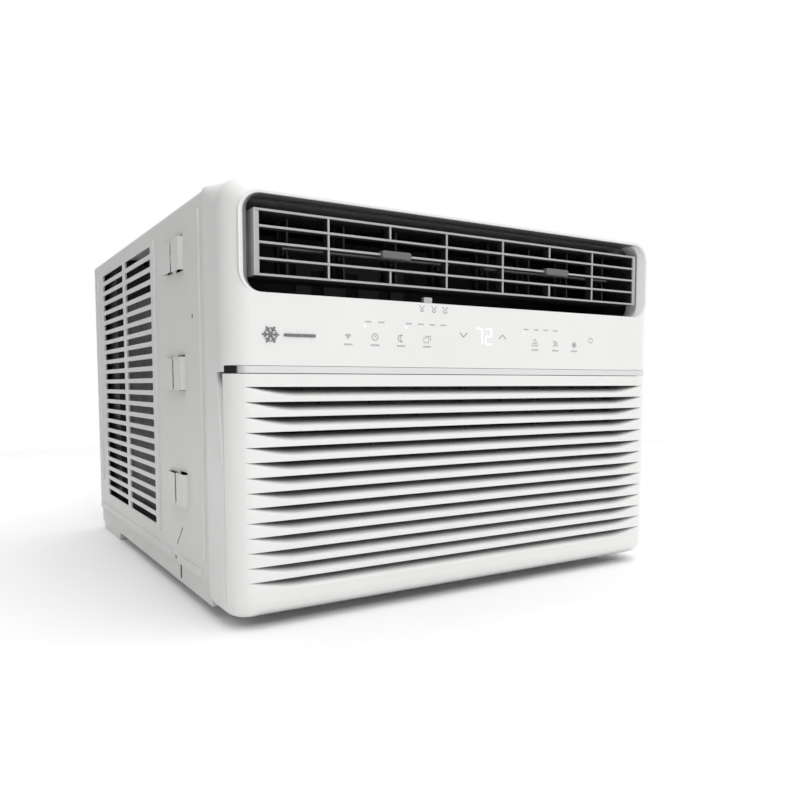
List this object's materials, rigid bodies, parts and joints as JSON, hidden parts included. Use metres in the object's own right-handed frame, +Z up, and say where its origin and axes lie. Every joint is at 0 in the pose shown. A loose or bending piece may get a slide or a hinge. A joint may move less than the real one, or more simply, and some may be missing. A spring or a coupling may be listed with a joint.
{
  "type": "window air conditioner",
  "caption": "Window air conditioner with a tilting outlet louver, hinged intake grille, louvred steel case and a working fan rotor.",
  "frame": {"origin": "centre of the bounding box in plan, at the level of the feet and the rear sump", "axes": "+Z up, +Y towards the outdoor side, +X to the right seen from the room"},
  "size_m": [0.4902, 0.5414, 0.357],
  "materials": {
    "panel_white": "fine satin moulded ABS, white",
    "grille_white": "fine satin moulded ABS, white",
    "case_paint": "light warm grey powder coat on sheet steel",
    "trim_silver": "satin silver foil",
    "badge_chrome": "bright plated",
    "louver_grey": "mid grey moulded plastic",
    "tab_grey": "mid grey moulded plastic",
    "guide_grey": "dark grey coat on sheet steel",
    "duct_charcoal": "charcoal moulded plastic",
    "vane_black": "black moulded plastic",
    "lever_grey": "light grey moulded plastic",
    "foam_housing": "dark moulded foam and plastic",
    "zinc_sheet": "galvanised sheet steel",
    "fins": "thin bare fins",
    "copper": "drawn copper tube",
    "compressor_paint": "black enamel",
    "motor_metal": "plain motor shell",
    "steel_core": "laminated core",
    "fan_plastic": "black moulded plastic",
    "rubber": "moulded rubber",
    "board_green": "circuit board",
    "spring_steel": "plated wire",
    "diffuser": "milky light guide",
    "filter_grey": "dark mesh in a frame",
    "zinc_screws": "zinc plated"
  },
  "bodies": {
    "chassis": {"base_pan": "case_paint", "drain_plug": "rubber", "outer_case": "case_paint", "curtain_tabs_left": "case_paint", "curtain_tabs_right": "case_paint", "rear_panel": "case_paint", "front_panel": "panel_white", "trim_strip": "trim_silver", "badge": "badge_chrome", "display_board": "board_green", "light_guide": "diffuser", "touch_springs": "spring_steel", "outlet_duct": "duct_charcoal", "scroll_housing": "foam_housing", "bulkhead": "foam_housing", "evaporator_fins": "fins", "evaporator_end_plates": "zinc_sheet", "evaporator_bends": "copper", "thermistor": "copper", "condenser_fins": "fins", "condenser_end_plates": "zinc_sheet", "condenser_bends": "copper", "fan_shroud": "fan_plastic", "air_guide": "guide_grey", "motor_case": "motor_metal", "motor_stator": "steel_core", "motor_bracket": "zinc_sheet", "compressor": "compressor_paint", "compressor_pump": "steel_core", "terminal_cover": "fan_plastic", "compressor_grommets": "rubber", "compressor_studs": "zinc_screws", "accumulator": "compressor_paint", "copper_lines": "copper", "control_box": "zinc_sheet", "control_board": "board_green", "run_capacitor": "motor_metal", "cord_gland": "rubber", "case_screws": "zinc_screws"},
    "grille": {"intake_grille": "grille_white", "air_filter": "filter_grey"},
    "louver": {"louver_frame": "louver_grey", "vane_carrier": "vane_black"},
    "vent": {"vent_lever": "lever_grey", "vent_shutter": "vane_black"},
    "rotor": {"motor_shaft": "zinc_screws", "rotor_core": "steel_core", "blower_wheel": "fan_plastic", "condenser_fan": "fan_plastic", "shaft_nuts": "zinc_screws"},
    "left_adjuster": {"vane_tab_left": "tab_grey"},
    "right_adjuster": {"vane_tab_right": "tab_grey"},
    "vane_left_1": {"vane_left_1": "vane_black"},
    "vane_left_2": {"vane_left_2": "vane_black"},
    "vane_left_3": {"vane_left_3": "vane_black"},
    "vane_left_4": {"vane_left_4": "vane_black"},
    "vane_right_1": {"vane_right_1": "vane_black"},
    "vane_right_2": {"vane_right_2": "vane_black"},
    "vane_right_3": {"vane_right_3": "vane_black"},
    "vane_right_4": {"vane_right_4": "vane_black"}
  },
  "joints": [
    {"name": "grille_tilt", "type": "hinge", "parent": "chassis", "child": "grille", "pos_m": [0, -0.2555, 0.0155], "axis": [1, 0, 0], "range_deg": [0, 30]},
    {"name": "louver_tilt", "type": "hinge", "parent": "chassis", "child": "louver", "pos_m": [0, -0.24, 0.3076], "axis": [1, 0, 0], "range_deg": [-18, 18]},
    {"name": "vent_slide", "type": "slide", "parent": "chassis", "child": "vent", "axis": [1, 0, 0], "range_m": [-0.008, 0.017]},
    {"name": "fan_spin", "type": "hinge", "parent": "chassis", "child": "rotor", "pos_m": [0, 0, 0.178], "axis": [0, 1, 0], "continuous": true},
    {"name": "left_vanes", "type": "slide", "parent": "louver", "child": "left_adjuster", "axis": [1, 0, 0], "range_m": [-0.008, 0.008]},
    {"name": "right_vanes", "type": "slide", "parent": "louver", "child": "right_adjuster", "axis": [1, 0, 0], "range_m": [-0.008, 0.008]},
    {"name": "vane_left_1_turn", "type": "hinge", "parent": "louver", "child": "vane_left_1", "pos_m": [-0.026, -0.234, 0.3076], "axis": [0, 0, 1], "range_deg": [-28.7, 28.7]},
    {"name": "vane_left_2_turn", "type": "hinge", "parent": "louver", "child": "vane_left_2", "pos_m": [-0.078, -0.234, 0.3076], "axis": [0, 0, 1], "range_deg": [-28.7, 28.7]},
    {"name": "vane_left_3_turn", "type": "hinge", "parent": "louver", "child": "vane_left_3", "pos_m": [-0.13, -0.234, 0.3076], "axis": [0, 0, 1], "range_deg": [-28.7, 28.7]},
    {"name": "vane_left_4_turn", "type": "hinge", "parent": "louver", "child": "vane_left_4", "pos_m": [-0.182, -0.234, 0.3076], "axis": [0, 0, 1], "range_deg": [-28.7, 28.7]},
    {"name": "vane_right_1_turn", "type": "hinge", "parent": "louver", "child": "vane_right_1", "pos_m": [0.026, -0.234, 0.3076], "axis": [0, 0, 1], "range_deg": [-28.7, 28.7]},
    {"name": "vane_right_2_turn", "type": "hinge", "parent": "louver", "child": "vane_right_2", "pos_m": [0.078, -0.234, 0.3076], "axis": [0, 0, 1], "range_deg": [-28.7, 28.7]},
    {"name": "vane_right_3_turn", "type": "hinge", "parent": "louver", "child": "vane_right_3", "pos_m": [0.13, -0.234, 0.3076], "axis": [0, 0, 1], "range_deg": [-28.7, 28.7]},
    {"name": "vane_right_4_turn", "type": "hinge", "parent": "louver", "child": "vane_right_4", "pos_m": [0.182, -0.234, 0.3076], "axis": [0, 0, 1], "range_deg": [-28.7, 28.7]}
  ],
  "couplings": [
    {"joint": "vane_left_1_turn", "follows": "left_vanes", "rad_per_m": 62.5},
    {"joint": "vane_left_2_turn", "follows": "left_vanes", "rad_per_m": 62.5},
    {"joint": "vane_left_3_turn", "follows": "left_vanes", "rad_per_m": 62.5},
    {"joint": "vane_left_4_turn", "follows": "left_vanes", "rad_per_m": 62.5},
    {"joint": "vane_right_1_turn", "follows": "right_vanes", "rad_per_m": 62.5},
    {"joint": "vane_right_2_turn", "follows": "right_vanes", "rad_per_m": 62.5},
    {"joint": "vane_right_3_turn", "follows": "right_vanes", "rad_per_m": 62.5},
    {"joint": "vane_right_4_turn", "follows": "right_vanes", "rad_per_m": 62.5}
  ]
}
